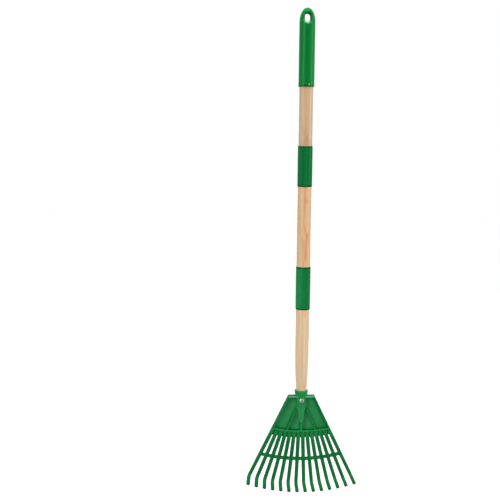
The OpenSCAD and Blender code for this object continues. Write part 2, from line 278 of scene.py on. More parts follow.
grainPattern = {"wander": (26, 26, 7), "wanderBy": 0.009,
                "latePower": 2.6, "lateEnd": (1.0, 0.9), "lateHeight": -0.6,
                "tone": (60, 60, 6), "toneSpan": (0.3, 0.75, 0.45, 1.0),
                "streak": (240, 240, 5), "streakSpan": (0.45, 0.72, 0.0, 0.55),
                "fibre": (1300, 1300, 28), "fibreSpan": (0.5, 0.8, 0.0, 0.4),
                "roughSpan": (0.3, 0.8, 0.32, 0.5)}


def buildWoodGrain():
    # rings about a pith that lies outside the dowel and leans, late wood dark at the end of each ring,
    # and fine fibres along the dowel
    group, start, end = newGroup(
        "woodGrain", {"Pale": "Color", "Late": "Color", "Pith": "Vector", "Lean": "Vector", "Ring": "Float"},
        {"Color": "Color", "Roughness": "Float", "Height": "Float"})
    place = objectPlace(group)
    height = addNode(group, "ShaderNodeSeparateXYZ", {0: place}).outputs["Z"]
    pith = vectorMaths(group, "ADD", start["Pith"], vectorScale(group, start["Lean"], height))
    wander = noise(group, place, grainPattern["wander"])["Color"]
    aside = vectorScale(group, wander, grainPattern["wanderBy"])
    bent = vectorMaths(group, "ADD", vectorMaths(group, "SUBTRACT", place, pith), aside)
    reach = vectorLength(group, vectorMaths(group, "MULTIPLY", bent, (1, 1, 0)))  # on the level
    ring = maths(group, "FRACT", maths(group, "DIVIDE", reach, start["Ring"]))
    late = maths(group, "MULTIPLY", maths(group, "POWER", ring, grainPattern["latePower"]),
                 span(group, ring, *grainPattern["lateEnd"]))
    tone = span(group, noise(group, place, grainPattern["tone"])[0], *grainPattern["toneSpan"])
    lateShare = maths(group, "MULTIPLY", late, tone, clamp=True)
    fibre = noise(group, place, grainPattern["fibre"], 3.0, 0.6)[0]
    streak = noise(group, place, grainPattern["streak"], 2.0, 0.6)[0]
    broad = maths(group, "ADD", lateShare, span(group, streak, *grainPattern["streakSpan"]))
    share = maths(group, "ADD", broad, span(group, fibre, *grainPattern["fibreSpan"]), clamp=True)
    group.links.new(mixColour(group, share, start["Pale"], start["Late"]), end["Color"])
    group.links.new(span(group, fibre, *grainPattern["roughSpan"]), end["Roughness"])
    group.links.new(maths(group, "MULTIPLY_ADD", late, grainPattern["lateHeight"], fibre), end["Height"])
    return group


markPattern = {"fibre": (900, 900, 40), "ragged": 0.7, "edgeSpan": (1.25, 0.45), "halfSize": 0.5,
               "intoWood": 60}


def buildWoodMark():
    # one streak, knot or blush: a ragged patch round a place, which leans across as it goes up
    group, start, end = newGroup(
        "woodMark", {"Color": "Color", "Tint": "Color", "Place": "Vector", "Spread": "Vector",
                     "Lean": "Float", "Share": "Float"}, {"Color": "Color"})
    place = objectPlace(group)
    off = vectorMaths(group, "SUBTRACT", place, start["Place"])
    part = addNode(group, "ShaderNodeSeparateXYZ", {0: off}).outputs
    across = maths(group, "SUBTRACT", part["X"], maths(group, "MULTIPLY", part["Z"], start["Lean"]))
    upright = addNode(group, "ShaderNodeCombineXYZ", {0: across, 1: part["Y"], 2: part["Z"]}).outputs[0]
    away = vectorLength(group, vectorMaths(group, "MULTIPLY", upright, start["Spread"]))
    fibre = noise(group, place, markPattern["fibre"], 2.0, 0.6)[0]
    edge = maths(group, "MULTIPLY_ADD", fibre, markPattern["ragged"], away)
    share = maths(group, "MULTIPLY", span(group, edge, *markPattern["edgeSpan"]), start["Share"])
    group.links.new(mixColour(group, share, start["Color"], start["Tint"]), end["Color"])
    return group


mouldedSkin = buildMouldedSkin()
lightAndShadeGroup = buildLightAndShade()
woodGrain = buildWoodGrain()
woodMark = buildWoodMark()


# Materials

def newMaterial(name, sockets):
    material = bpy.data.materials.new(name)
    material.use_nodes = True
    tree = material.node_tree
    shader = tree.nodes["Principled BSDF"]
    for label, value in sockets.items():
        shader.inputs[label].default_value = value
    return material, tree, shader.inputs


def bumped(tree, sockets, height, finish):
    bump = addNode(tree, "ShaderNodeBump", {"Strength": finish["bump"], "Distance": finish["bumpDepth"],
                                            "Height": height})
    tree.links.new(bump.outputs["Normal"], sockets["Normal"])


plasticFinish = {"ior": 1.46, "lightMaskRoughness": 0.75, "bump": 0.22, "bumpDepth": 0.00012}
woodFinish = {"ior": 1.45, "specular": 0.5, "bump": 0.25, "bumpDepth": 0.0002}
zincFinish = {"bright": (0.26, 0.34, 0.26, 1), "dull": (0.16, 0.22, 0.16, 1),
              "highlight": (0.75, 0.75, 0.72, 1), "shadeTint": (0.05, 0.05, 0.05, 1), "highlightAmount": 0.5,
              "mottle": (700, 700, 700), "mottleSpan": (0.35, 0.7), "roughSpan": (0.3, 0.75, 0.32, 0.48),
              "bump": 0.15, "bumpDepth": 0.0001}


def plasticMaterial(name, base, deep, highlight, shadeTint, flow, gloss, highlightAmount, specular):
    material, tree, sockets = newMaterial(name, {"IOR": plasticFinish["ior"], "Specular IOR Level": specular})
    skin = placeGroup(tree, mouldedSkin, Base=base, Deep=deep, Flow=flow, Gloss=gloss)
    edges = placeGroup(tree, lightAndShadeGroup, Color=skin["Color"], Rubbed=highlight, Crevice=shadeTint, Amount=highlightAmount)
    tree.links.new(edges["Color"], sockets["Base Color"])
    # rougher where light or shade is painted
    rough = maths(tree, "MULTIPLY_ADD", edges["Mask"], plasticFinish["lightMaskRoughness"], skin["Roughness"],
                  clamp=True)
    tree.links.new(rough, sockets["Roughness"])
    bumped(tree, sockets, skin["Height"], plasticFinish)
    return material


def woodMaterial(name, pale, late, pith, lean, ring, marks):
    material, tree, sockets = newMaterial(name, {"IOR": woodFinish["ior"],
                                                 "Specular IOR Level": woodFinish["specular"]})
    grain = placeGroup(tree, woodGrain, Pale=pale, Late=late, Pith=pith, Lean=lean, Ring=ring)
    colour = grain["Color"]
    for spot in marks:
        colour = placeGroup(tree, woodMark, Color=colour, **spot)["Color"]
    tree.links.new(colour, sockets["Base Color"])
    tree.links.new(grain["Roughness"], sockets["Roughness"])
    bumped(tree, sockets, grain["Height"], woodFinish)
    return material


def zincMaterial(name):
    # zinc plate: bright and slightly mottled
    material, tree, sockets = newMaterial(name, {"Metallic": 1.0})
    mottle = noise(tree, objectPlace(tree), zincFinish["mottle"], 3.0)[0]
    dulled = span(tree, mottle, *zincFinish["mottleSpan"])
    tint = mixColour(tree, dulled, zincFinish["bright"], zincFinish["dull"])
    edges = placeGroup(tree, lightAndShadeGroup, Color=tint, Rubbed=zincFinish["highlight"], Crevice=zincFinish["shadeTint"],
                       Amount=zincFinish["highlightAmount"])
    tree.links.new(edges["Color"], sockets["Base Color"])
    tree.links.new(span(tree, mottle, *zincFinish["roughSpan"]), sockets["Roughness"])
    bumped(tree, sockets, mottle, zincFinish)
    return material


# after its own base and deep colours, each plastic has a pale colour for painted highlights and a dark one
# for painted shade
gripPlastic = plasticMaterial(
    "gripPlastic", base=(0.003, 0.238, 0.040, 1), deep=(0.001, 0.140, 0.022, 1),
    highlight=(0.30, 0.62, 0.38, 1), shadeTint=(0.0, 0.045, 0.008, 1),
    flow=0.5, gloss=0.16, highlightAmount=0.8, specular=0.06)
sleevePlastic = plasticMaterial(
    "sleevePlastic", base=(0.004, 0.205, 0.048, 1), deep=(0.001, 0.125, 0.028, 1),
    highlight=(0.04, 0.32, 0.11, 1), shadeTint=(0.001, 0.06, 0.012, 1),
    flow=0.8, gloss=0.28, highlightAmount=0.8, specular=0.06)
headPlastic = plasticMaterial(
    "headPlastic", base=(0.010, 0.256, 0.060, 1), deep=(0.007, 0.185, 0.042, 1),
    highlight=(0.09, 0.38, 0.19, 1), shadeTint=(0.002, 0.060, 0.016, 1),
    flow=0.3, gloss=0.34, highlightAmount=0.8, specular=0.08)
zincSteel = zincMaterial("zincSteel")
print("materials built")


# Turned wood

rodSize = inMetres(radius=11, shoulder=1, chamfer=0.8, wobble=0.0175, wobbleFrom=10.67, step=3)
rodSides = 80
taperSize = inMetres(length=65, neck=16.7, tenon=34, tenonTip=9.4)
taperSteps = 24
sandingWaves = ((1.0, 2, 31), (0.6, 3, -57), (0.4, 0, 140))


def mark(tint, across, height, halfWide, halfLong, lean, share):
    # a mark on the dowel's front, with its place and half sizes in millimetres
    across, height, halfWide, halfLong = (size / 1000 for size in (across, height, halfWide, halfLong))
    front = -math.sqrt(rodSize["radius"] ** 2 - across ** 2)
    half = markPattern["halfSize"]
    return dict(Tint=tint + (1,), Place=(across, front, height),
                Spread=(half / halfWide, markPattern["intoWood"], half / halfLong), Lean=lean, Share=share)


heart, rosy = (0.60, 0.20, 0.07), (0.76, 0.32, 0.18)
tawny, warm = (0.55, 0.33, 0.15), (0.74, 0.41, 0.19)
edgeShade, umber = (0.47, 0.37, 0.27), (0.40, 0.25, 0.105)
rodLook = {
    "upperRod": dict(
        pale=(0.585, 0.40, 0.23, 1), late=(0.445, 0.265, 0.132, 1),
        pith=(0.016, 0.045, 0), lean=(0.01, 0.025, 0), ring=0.0040, marks=[
            mark(tawny, 1.5, -150, 3, 50, 0.01, 0.6), mark(umber, 2.2, -191, 2.8, 7, 0, 0.7),
            # the two grey marks down the dowel's sides are painted shade
            mark(edgeShade, -10, -158, 4, 60, 0, 0.6), mark(edgeShade, 9.5, -158, 5, 60, 0, 0.7),
            mark(umber, 0, -203, 16, 12, 0, 0.4)]),
    "middleRod": dict(
        pale=(0.665, 0.455, 0.262, 1), late=(0.57, 0.30, 0.126, 1),
        pith=(0.001, 0.052, 0), lean=(0.0, 0.035, 0), ring=0.0042, marks=[
            mark(warm, 1.0, -340, 3, 50, 0, 0.5), mark(rosy, 0, -271, 8, 2.2, 0, 0.55),
            mark(heart, -0.6, -284, 0.8, 26, 0, 0.75), mark(heart, 2.8, -288, 1.5, 3.5, 0, 0.7),
            mark(heart, 1.2, -335, 1.0, 11, -0.19, 0.75), mark(heart, 4.2, -342, 1.0, 5, 0.33, 0.7),
            mark(heart, 2.6, -359, 1.2, 15, 0.04, 0.75), mark(heart, 0.9, -378, 1.1, 13, 0.13, 0.65),
            mark(heart, 4.2, -378, 1.1, 13, -0.12, 0.55)]),
    "lowerRod": dict(
        pale=(0.70, 0.53, 0.33, 1), late=(0.59, 0.39, 0.21, 1),
        pith=(-0.025, 0.040, 0), lean=(0.01, 0.012, 0), ring=0.0036, marks=[
            mark(tawny, -0.6, -530, 1.8, 45, 0, 0.45), mark(rosy, 2.0, -471, 3, 3.5, 0, 0.45),
            mark(rosy, 3.0, -589, 2.6, 4, 0, 0.5)]),
}


def turnedDowel(name, node, profile):
    # a turned profile whose radius wanders by a few hundredths of a millimetre, as sanding leaves it
    points, faces = lathe(resampled(np.array(profile), rodSize["step"]), rodSides)
    turn, radius, height = polar(points)
    wobble = rodSize["wobble"] * ripples(sandingWaves, turn, height) * (radius > rodSize["wobbleFrom"])
    points[:, :2] *= (1 + wobble / rodSize["radius"])[:, None]
    body = name.replace("Rod", "_section")
    makePiece(name, [(points, faces)], woodMaterial(name + "Wood", **rodLook[name]), body, node)


def spigotEnd(end, shoulderAt, towards):  # from the middle of a spigot's end out to the dowel's shoulder
    thin, chamfer = rodSize["radius"] - rodSize["shoulder"], rodSize["chamfer"]
    return [(0, end), (thin - chamfer, end), (thin, end - towards * chamfer), (thin, shoulderAt),
            (rodSize["radius"], shoulderAt)]


upperLow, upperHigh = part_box("upper_rod")
middleLow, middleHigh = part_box("middle_rod")
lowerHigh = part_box("lower_rod")[1]
capLow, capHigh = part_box("grip_cap")
headLow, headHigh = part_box("rake_head")
sleeveBoxes = {name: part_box(name) for name in ("upper_sleeve", "lower_sleeve")}
upperSleeveLow, upperSleeveHigh = sleeveBoxes["upper_sleeve"]
lowerSleeveLow, lowerSleeveHigh = sleeveBoxes["lower_sleeve"]

rodTop = [(0, upperHigh.z), (rodSize["radius"] - rodSize["chamfer"], upperHigh.z),
          (rodSize["radius"], upperHigh.z - rodSize["chamfer"])]
turnedDowel("upperRod", "upper_rod", rodTop + spigotEnd(upperLow.z, upperSleeveHigh.z, -1)[::-1])
turnedDowel("middleRod", "middle_rod", spigotEnd(middleHigh.z, upperSleeveLow.z, 1)
            + spigotEnd(middleLow.z, lowerSleeveHigh.z, -1)[::-1])
taperRun = np.linspace(0, 1, taperSteps)  # the taper's radius shrinks with the square of the way down
taperRadius = rodSize["radius"] - (rodSize["radius"] - taperSize["neck"] / 2) * taperRun ** 2
taperHeight = headHigh.z + taperSize["length"] * (1 - taperRun)
tenonEnd = headHigh.z - taperSize["tenon"]
turnedDowel("lowerRod", "lower_rod", spigotEnd(lowerHigh.z, lowerSleeveLow.z, 1)
            + list(zip(taperRadius, taperHeight)) + [(taperSize["tenonTip"] / 2, tenonEnd), (0, tenonEnd)])


# Joining sleeves

sleeveSize = inMetres(wall=1.75, rim=0.5, rimRun=1.6, mouthRound=0.3, rimRound=0.8, step=0.8,
                      rimDark=1.6, rimShade=3.2, ripple=0.015)
sleeveSides = 128
sleeveWaves = ((1.0, 5, 9), (0.7, 9, -14), (0.5, 14, 0))
sleeveShade = {"upperSleeve": (-0.32, 0.0), "lowerSleeve": (0.15, 0.45)}  # painted light and shade, all over and more on the left


def joiningSleeve(name, node):
    # a tube whose rims draw in over a short run, with faint ripples down its length
    low, high = sleeveBoxes[node]
    outer, run = high.x, sleeveSize["rimRun"]
    bore, drawn = outer - sleeveSize["wall"], outer - sleeveSize["rim"]
    mouth, rim = sleeveSize["mouthRound"], sleeveSize["rimRound"]
    outside = softened([(bore, high.z), (drawn, high.z), (outer, high.z - run), (outer, low.z + run),
                        (drawn, low.z), (bore, low.z)], [mouth, rim, rim, mouth])
    points, faces = lathe(resampled(outside, sleeveSize["step"]), sleeveSides, loop=True)
    turn, radius, height = polar(points)
    ripple = sleeveSize["ripple"] * ripples(sleeveWaves, turn, height) * (radius > drawn)
    points[:, :2] *= (1 + ripple / outer)[:, None]
    # painted shade darkens the last few millimetres at each rim
    fromEnd = np.minimum(high.z - height, height - low.z)
    fade = sleeveSize["rimShade"] - sleeveSize["rimDark"]
    rimShadow = np.clip((sleeveSize["rimShade"] - fromEnd) / fade, 0, 1)
    allOver, leftward = sleeveShade[name]
    paintedLight = (allOver - leftward * np.sin(turn)) * (1 - rimShadow) - rimShadow
    makePiece(name, [(points, faces, paintedLight)], sleevePlastic, "middle_section", node)


joiningSleeve("upperSleeve", "upper_sleeve")
joiningSleeve("lowerSleeve", "lower_sleeve")


# Grip cap with its hanging hole

capSize = inMetres(wall=1.6, domeHigh=22, holeWide=9.4, holeHigh=13.6, flare=3.3, waist=5.8,
                   seamDrop=22, rodStop=14, rimRound=0.6, bevel=0.5, rimShade=5, step=1.25)
capGrid = {"across": 49, "upward": 45, "rings": 26, "curl": 14, "sides": 96, "crowding": 1.6}
# painted shade: darker towards the lower rim, and a dark streak below the hole
capShade = {"rim": 0.5, "streakAside": -0.06, "streakHalfWide": 0.26, "streakShare": 0.44, "streakSpread": 0.15}
# painted shade and highlight: by shares of the way up the hole and across it, how dark its wall is painted
# and how pale its lip
wallShade = {"level": 0.4, "up": 2.0, "across": -1.0, "power": 2.0, "quicker": 1.3, "least": 0.7}
lipHighlight = {"up": -1.6, "across": -0.7, "narrow": 1.6, "pale": 1.35}


def holeOutline(share, halfWide):
    # point at a share of the way round an obround, from the middle of its lower end towards +X; turn is how
    # far the way has gone round the two ends, and risen and fallen are its runs along the straight sides
    straight = capSize["holeHigh"] - capSize["holeWide"]
    quarter = np.pi / 2 * halfWide
    travel = (share % 1) * (4 * quarter + 2 * straight)
    risen = np.clip(travel - quarter, 0, straight)
    fallen = np.clip(travel - 3 * quarter - straight, 0, straight)
    turn = (travel - risen - fallen) / halfWide
    return halfWide * np.sin(turn), risen - fallen - straight / 2 - halfWide * np.cos(turn)


def lowerFrontShade(points):  # painted shade: a dark streak down the middle below the hole, front and back, and the whole lower cap a little darker
    turn = np.arctan2(points[:, 0], np.abs(points[:, 1])) - capShade["streakAside"]
    below = np.clip((-points[:, 2] - capSize["holeHigh"] / 2) / capSize["holeHigh"], 0, 1)
    line = np.exp(-(turn / capShade["streakHalfWide"]) ** 2)
    return capShade["streakShare"] * (capShade["streakSpread"] + line) * below


def gripCap():
    # the dome is a quarter ellipse turned about the handle; rings run from its outline to the hole's mouth
    radius, domeHigh = capHigh.x, capSize["domeHigh"]
    domeFoot, seam = capHigh.z - domeHigh, -capSize["seamDrop"]
    climb = np.pi / 2 * math.sqrt((radius ** 2 + domeHigh ** 2) / 2)  # length of the quarter ellipse, nearly

    def capRadius(z):
        return radius * np.sqrt(np.clip(1 - (np.clip(z - domeFoot, 0, None) / domeHigh) ** 2, 0, 1))

    def onCap(turn, rise):  # rise is measured along the surface, from the foot of the dome
        swing = np.clip(rise, 0, None) / climb * np.pi / 2
        reach = radius * np.cos(swing)
        height = domeFoot + np.minimum(rise, 0) + domeHigh * np.sin(swing)
        return np.stack([reach * np.sin(turn), -reach * np.cos(turn), height], -1)

    # outline of the cap's front half: the seam, the right side, over the top and the left side
    halfTurn = np.linspace(-np.pi / 2, np.pi / 2, capGrid["across"])
    upward = np.linspace(seam - domeFoot, climb, capGrid["upward"])
    sideTurn = np.full(capGrid["upward"] - 2, np.pi / 2)
    level = np.ones(capGrid["across"])
    turns = np.concatenate([halfTurn, sideTurn, halfTurn[::-1], -sideTurn])
    rises = np.concatenate([upward[0] * level, upward[1:-1], climb * level, upward[-2:0:-1]])

    # rings crowd towards the hole's mouth, which then rolls in to the waist by a quarter of an ellipse
    share = np.arctan2(rises + domeFoot, turns * radius) / (2 * np.pi) + 0.25
    waistHalf = capSize["holeWide"] / 2
    mouthX, mouthZ = holeOutline(share, waistHalf + capSize["flare"])
    mouthSwing = np.arcsin(np.clip((mouthZ - domeFoot) / domeHigh, 0, 1))
    mouthRise = np.where(mouthZ > domeFoot, mouthSwing / (np.pi / 2) * climb, mouthZ - domeFoot)
    mouthTurn = np.arcsin(np.clip(mouthX / capRadius(mouthZ), -1, 1))
    ease = 1 - (1 - np.linspace(0, 1, capGrid["rings"])[:, None]) ** capGrid["crowding"]
    rings = [onCap(turns + (mouthTurn - turns) * ease, rises + (mouthRise - rises) * ease)]
    for curl in np.linspace(0, np.pi / 2, capGrid["curl"])[1:]:
        x, z = holeOutline(share, waistHalf + capSize["flare"] * (1 - np.sin(curl)))
        skin = -np.sqrt(capRadius(z) ** 2 - x ** 2)
        rings.append(np.stack([x, skin + (-capSize["waist"] - skin) * (1 - np.cos(curl)), z], -1)[None])
    rings.append(rings[-1] * np.array([1, 0, 1]))
    front = np.concatenate(rings)
    faces = gridFaces(len(front), len(share), False, True)

    # painted shade on the hole's wall, darkest at the top and on the left, and a painted highlight on the
    # lip, at the bottom and towards the left
    rolled = np.linspace(0, 1, capGrid["curl"])[1:]
    curl = np.concatenate([np.zeros(capGrid["rings"]), rolled, [1.0]])[:, None]
    across, up = front[-1, :, 0] / capSize["holeWide"], front[-1, :, 2] / capSize["holeHigh"]
    shaded = np.clip(wallShade["level"] + wallShade["up"] * up + wallShade["across"] * across, 0, 1)
    darkness = wallShade["least"] + (1 - wallShade["least"]) * shaded
    darkShare = darkness * np.sin(curl * np.pi / 2) ** (wallShade["power"] - wallShade["quicker"] * shaded)
    highlight = np.clip(lipHighlight["up"] * up + lipHighlight["across"] * across, 0, 1)
    lip = lipHighlight["pale"] * np.sin(np.clip(curl * lipHighlight["narrow"], 0, 1) * np.pi) * highlight ** 2
    front = front.reshape(-1, 3)
    back = front * np.array([1, -1, 1])
    paintedLight = (lip - darkShare).ravel() - lowerFrontShade(front)

    bore = radius - capSize["wall"]
    skirt = softened([(radius, seam), (radius, capLow.z), (bore, capLow.z), (bore, -capSize["rodStop"]),
                      (0, -capSize["rodStop"])], [capSize["rimRound"], capSize["bevel"], capSize["bevel"]])
    skirtPoints, skirtFaces = lathe(resampled(skirt, capSize["step"]), capGrid["sides"])
    # painted shade towards the cap's lower rim
    nearRim = np.clip(1 - (skirtPoints[:, 2] - capLow.z) / capSize["rimShade"], 0, 1)
    skirtShade = -capShade["rim"] * nearRim - lowerFrontShade(skirtPoints)
    return [(front, faces, paintedLight), (back, faces, paintedLight), (skirtPoints, skirtFaces, skirtShade)]


makePiece("gripCap", gripCap(), gripPlastic, "upper_section", "grip_cap")


# Nail and screw

def facingFront(points, place, turn=0.0):
    # heights of a turned shape are laid along -Y, and the shape is set at a place and turned round the handle
    laid = np.stack([points[:, 0], -points[:, 2], points[:, 1]], -1) + np.array(place)
    return laid @ np.array(Matrix.Rotation(turn, 3, "Z")).T


nailSize = inMetres(shank=1.4, length=11, headWide=2.4, headHigh=0.6, crown=0.25, up=3.4,
                    tipRound=0.3, neckRound=0.1, underRound=0.2, edgeRound=0.3)
nailTurn = math.radians(14)
nailSides = 40


def capNail():
    # shank and low crowned head in one profile, with its head's edge on the cap's skin
    shank, half = nailSize["shank"] / 2, nailSize["headWide"] / 2
    profile = softened([(0, -nailSize["length"]), (shank, -nailSize["length"]), (shank, 0), (half, 0),
                        (half, nailSize["headHigh"] - nailSize["crown"]), (0, nailSize["headHigh"])],
                       [nailSize[name] for name in ("tipRound", "neckRound", "underRound", "edgeRound")])
    points, faces = lathe(profile, nailSides)
    seat = -math.sqrt(capHigh.x ** 2 - half ** 2)
    return facingFront(points, (0, seat, capLow.z + nailSize["up"]), nailTurn), faces


makePiece("capNail", [capNail()], zincSteel, "upper_section", "cap_nail")

screwSize = inMetres(shank=3.5, length=13, point=3.25, headWide=7.2, headHigh=2.4, edge=0.96,
                     recessWide=0.94, recessLong=4.2, recessDeep=1.3, recessSoft=0.25)
screwGrid = {"dome": 40, "sides": 96}
screwLow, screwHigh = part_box("head_screw")
screwUp = ((screwLow + screwHigh) / 2).z


def panHead():
    # shank, flat underside and domed head in one profile; a cross is pressed into the dome
    half, crown = screwSize["headWide"] / 2, screwSize["headHigh"] - screwSize["edge"]
    swing = np.linspace(0, 1, screwGrid["dome"])[1:]
    dome = np.stack([half * (1 - swing), screwSize["headHigh"] - crown * (1 - swing) ** 2], -1)
    shank = screwSize["shank"] / 2
    stem = [(0, -screwSize["length"]), (shank, screwSize["point"] - screwSize["length"]), (shank, 0),
            (half, 0), (half, screwSize["edge"])]
    points, faces = lathe(np.concatenate([np.array(stem), dome]), screwGrid["sides"])
    far = np.abs(points[:, :2])

    def arm(long, short):
        inLong = np.clip((screwSize["recessLong"] / 2 - long) / screwSize["recessSoft"], 0, 1)
        inShort = np.clip((screwSize["recessWide"] / 2 - short) / screwSize["recessSoft"], 0, 1)
        return inLong * inShort

    pressed = np.maximum(arm(far[:, 0], far[:, 1]), arm(far[:, 1], far[:, 0])) * screwSize["recessDeep"]
    points[:, 2] -= pressed * (points[:, 2] > screwSize["edge"])
    return facingFront(points, (0, screwLow.y + screwSize["headHigh"], screwUp)), faces


makePiece("headScrew", [panHead()], zincSteel, "lower_section", "head_screw")


# Rake head

headSize = inMetres(apexUp=37.3, arcUp=145, panelThick=2.4, panelDrop=62.1, plateRound=0.45, apart=0.06,
                    topRim=3.8, sideRim=2.2, lowRim=3, rimHigh=6, rimRound=0.6,
                    tineWide=5.8, tineFlare=0.4, tineWaist=0.2, tineThick=4.8, tineRound=1.2, tineProud=0.4,
                    bendDrop=150.2, bendInner=4, hookLong=26, tipRound=1.3, leastRound=0.4,
                    slotTop=72.2, slotRound=1.2, bandTop=105.9, bandWide=5.5, rootFade=24)
socketSize = inMetres(collarHigh=8, collarWide=22.2, lipHigh=2.2, wide=18.8, straight=20, noseWide=16.4,
                      noseLong=25.5, noseTip=7, fit=0.05, step=4,
                      neckRound=2, lipRound=0.6, mouthRound=0.4, boreRound=0.5,
                      padWide=8.6, padHigh=0.5, padRound=0.4, padFoot=0.2)
ribSize = inMetres(spineWide=3.6, braceWide=2, braceHigh=5.4, braceAside=8.5, braceDrop=23.5,
                   ribRound=0.5, spineRound=0.9)
headGrid = {"tineOut": 10, "tineBend": 14, "tineHook": 5, "tineTip": 6, "strip": 33, "edge": 40,
            "floorAcross": 141, "floorDown": 91, "rib": 12, "nose": 36, "noseTip": 12, "noseRound": 16,
            "socket": 96, "pad": 64}
tineCount = 14
fanAngle = math.radians(51.7)
bendAngle = math.radians(78)
braceAngle = math.radians(23)
noseShare = 0.999  # the nose's half circle stops just short of its end
rimSlope = 0.5  # steeper stretches of the rim are its sides
# how far painted shade reaches from the rims and ribs
shadeReach = inMetres(rim=1.9, side=2.6, rib=1.3)
# above zero a surface is painted paler, as a highlight, and below zero painted darker, as shade
paintedShare = {"topFace": 1.6, "rimFace": 0.0, "sideFace": -0.25, "rimWall": -0.8,
             "rimFoot": -0.7, "leftRim": -0.3, "rightRim": -1.0, "rib": -0.8, "floor": 0.3, "between": 0.5,
             "brace": -0.3, "spine": -0.15, "socket": 0.15, "nose": 0.2, "web": -0.2, "band": -0.2,
             "tineRoot": 0.4, "tine": -0.68, "hookTip": -0.8}

panelTop = headHigh.z - socketSize["collarHigh"]
pitch = fanAngle / (tineCount - 1)
panelBack, panelFront = headSize["panelThick"] / 2, -headSize["panelThick"] / 2
rimFront = panelFront - headSize["rimHigh"]
tineMiddle = panelBack + headSize["tineProud"] - headSize["tineThick"] / 2
rootDrop = headSize["panelDrop"] - headSize["lowRim"] / 2
bandEnd = headSize["bandTop"] + headSize["bandWide"]
tipMiddle = socketSize["straight"] + socketSize["noseLong"] - socketSize["noseTip"] / 2


def rayToArc(angle, below, radius):  # from a point below an arc's centre, along a ray to the arc
    return np.sqrt(radius ** 2 - (below * np.sin(angle)) ** 2) - below * np.cos(angle)


def fanCurve(angle, drop):  # distance from the fan's point to a curve that lies drop below the panel's top
    return rayToArc(angle, headSize["arcUp"] - headSize["apexUp"], headSize["arcUp"] + drop)


def onFan(angle, reach, depth):  # place at a distance from the fan's point
    angle, reach, depth = np.broadcast_arrays(angle, reach, depth)
    return np.stack([reach * np.sin(angle), depth, panelTop + headSize["apexUp"] - reach * np.cos(angle)], -1)


def fanOutward(angle):  # direction away from the fan's point
    return np.stack([np.sin(angle), 0 * angle, -np.cos(angle)], -1)


def tine(angle):
    # a rounded bar goes straight out, round the bend and along the hook, and its tip draws in
    bendRadius = headSize["bendInner"] + headSize["tineThick"] / 2
    setback = bendRadius * math.tan(bendAngle / 2)
    root = float(fanCurve(angle, rootDrop))
    bendStart = float(fanCurve(angle, headSize["bendDrop"])) - setback
    hookRun = headSize["hookLong"] - setback
    out = np.linspace(root, bendStart, headGrid["tineOut"])
    swing = np.linspace(0, bendAngle, headGrid["tineBend"])[1:]
    curl = np.linspace(0, np.pi / 2, headGrid["tineTip"])
    hook = np.concatenate([np.linspace(0, hookRun - headSize["tipRound"], headGrid["tineHook"])[1:-1],
                           hookRun - headSize["tipRound"] * (1 - np.sin(curl))])
    reach = np.concatenate([out, bendStart + bendRadius * np.sin(swing),
                            bendStart + bendRadius * math.sin(bendAngle) + hook * math.cos(bendAngle)])
    forward = np.concatenate([0 * out, bendRadius * (1 - np.cos(swing)),
                              bendRadius * (1 - math.cos(bendAngle)) + hook * math.sin(bendAngle)])
    heading = np.concatenate([0 * out, swing, np.full(len(hook), bendAngle)])[:, None]
    inset = np.zeros(len(reach))
    inset[-len(curl):] = headSize["tipRound"] * (1 - np.cos(curl))
    toRoot = np.clip((bendStart - reach) / (bendStart - root), 0, 1)
    flare = (headSize["tineFlare"] + headSize["tineWaist"]) * toRoot - headSize["tineWaist"]
    path = onFan(angle, reach, tineMiddle - forward)
    lift = np.array([0, -1, 0]) * np.cos(heading) - fanOutward(np.array(angle)) * np.sin(heading)
    side = (math.cos(angle), 0, math.sin(angle))
    outline = roundedBox(headSize["tineWide"] + flare - 2 * inset, headSize["tineThick"] - 2 * inset,
                         np.maximum(headSize["tineRound"] - inset, headSize["leastRound"]))
    tipShare = np.clip((forward - forward[-len(hook)]) / (forward[-1] - forward[-len(hook)]), 0, 1)
    rootShare = np.clip(1 - (reach - root) / headSize["rootFade"], 0, 1) ** 2
    # painted shade: the tines darker, their hooks' tips darker still, and paler towards the root
    paintedLight = (paintedShare["tine"] + (paintedShare["hookTip"] - paintedShare["tine"]) * tipShare
            + (paintedShare["tineRoot"] - paintedShare["tine"]) * rootShare)
    paintedLight = np.repeat(np.pad(paintedLight, 1, "edge"), outline.shape[1])
    return sweep(path, side, lift, outline) + (paintedLight,)


def gapStrip(middle, nearDrop, farDrop, nearRound, farRound):
    # a plate across one gap; its edges sweep into the tines on both sides with a small radius
    u = np.linspace(-1, 1, headGrid["strip"])
    angle = middle + u * pitch / 2
    near, far = fanCurve(angle, nearDrop), fanCurve(angle, farDrop)
    corner = headSize["slotRound"]
    space = (near + far) / 2 * np.sin((1 - np.abs(u)) * pitch / 2) - headSize["tineWide"] / 2
    fillet = corner - np.sqrt(corner ** 2 - np.clip(corner - space, 0, corner) ** 2)
    near, far = near - nearRound * fillet, far + farRound * fillet
    path = onFan(angle, (near + far) / 2, 0)
    thick = headSize["panelThick"] - 2 * headSize["apart"]
    outline = roundedBox(far - near, thick, headSize["plateRound"])
    return sweep(path, fanOutward(angle), (0, -1, 0), outline)


def wedgeTip(share):  # point of the wedge whose sides lie a share of the side rims' width inside the panel
    inside = headSize["tineWide"] / 2 - share * headSize["sideRim"]
    return headSize["apexUp"] + inside / math.sin(fanAngle / 2)


def lowArc(angle, share):  # distance from that point to the lower arc, drawn in by a share of its rim
    return rayToArc(angle, headSize["arcUp"] - wedgeTip(share),
                    headSize["arcUp"] + headSize["panelDrop"] - share * headSize["lowRim"])


